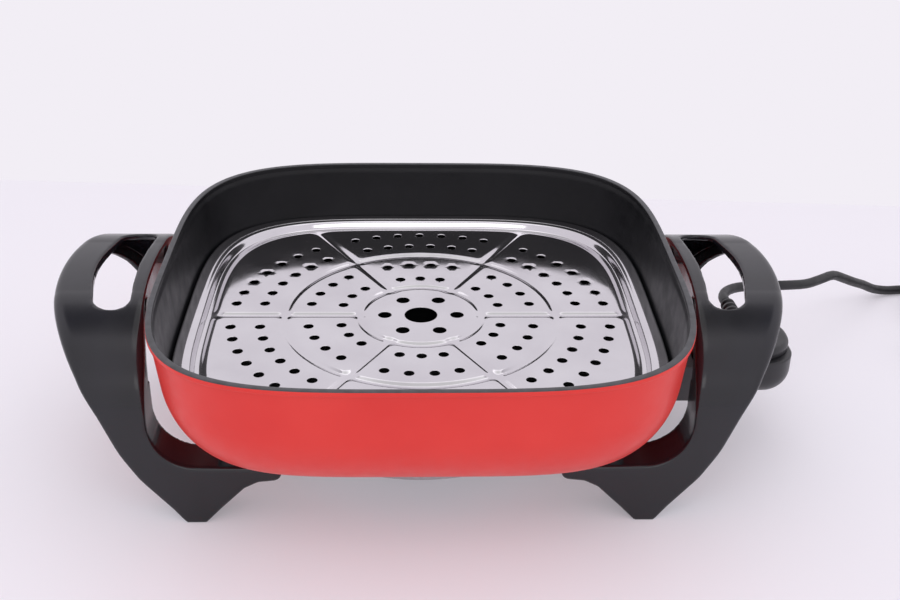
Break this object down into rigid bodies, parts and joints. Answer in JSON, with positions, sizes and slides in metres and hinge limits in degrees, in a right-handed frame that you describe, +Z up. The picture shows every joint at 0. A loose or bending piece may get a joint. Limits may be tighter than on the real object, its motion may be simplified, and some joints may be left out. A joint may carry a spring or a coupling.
{
  "type": "electric skillet",
  "caption": "Square deep non-stick pan on two bridge-shaped handle and leg mouldings, with a perforated steam tray and a plug-in temperature controller on its cord.",
  "frame": {"origin": "on the surface it stands on, under the middle of the whole appliance with its controller plugged in, cord apart", "axes": "+Z up, -Y the front long side, +X towards the controller"},
  "size_m": [0.6916, 0.3512, 0.1261],
  "materials": {
    "red_enamel": "satin",
    "cast_lug": "satin",
    "cast_heater": "satin",
    "element_tube": "matt",
    "plated_pin": "polished",
    "ceramic": "matt",
    "shroud_steel": "satin",
    "screw_steel": "satin",
    "black_moulding": "gloss",
    "tray_steel": "polished",
    "controller_plastic": "satin",
    "switch_block": "matt",
    "brass_contact": "satin",
    "probe_steel": "satin",
    "lens": "gloss",
    "dial_plastic": "satin",
    "cord_rubber": "matt"
  },
  "bodies": {
    "cooker": {"pan": "red_enamel", "leg_lugs": "cast_lug", "grip_posts": "cast_lug", "heater_casting": "cast_heater", "heating_tube": "element_tube", "terminal_pins": "plated_pin", "pin_insulators": "ceramic", "socket_shroud": "shroud_steel", "shroud_screws": "screw_steel", "left_handle_leg": "black_moulding", "right_handle_leg": "black_moulding", "leg_screws": "screw_steel", "handle_screws": "screw_steel"},
    "tray": {"steam_tray": "tray_steel"},
    "controller": {"controller_lower_cover": "controller_plastic", "controller_upper_cover": "controller_plastic", "cover_screws": "screw_steel", "thermostat_block": "switch_block", "contact_sleeves": "brass_contact", "probe_rod": "probe_steel", "indicator_lens": "lens", "strain_relief": "cord_rubber", "cord": "cord_rubber", "cord_coil": "cord_rubber", "cord_tail": "cord_rubber", "coil_tie": "cord_rubber", "plug_body": "cord_rubber", "plug_pins": "plated_pin"},
    "dial": {"temperature_dial": "dial_plastic", "dial_shaft": "plated_pin"}
  },
  "joints": [
    {"name": "tray_lift", "type": "slide", "parent": "cooker", "child": "tray", "axis": [0, 0, 1], "range_m": [0, 0.06]},
    {"name": "controller_pull", "type": "slide", "parent": "cooker", "child": "controller", "axis": [1, 0, 0], "range_m": [0, 0.06]},
    {"name": "dial_turn", "type": "hinge", "parent": "controller", "child": "dial", "pos_m": [0.19025, 0, 0.075], "axis": [0, 0, -1], "range_deg": [0, 270]}
  ]
}
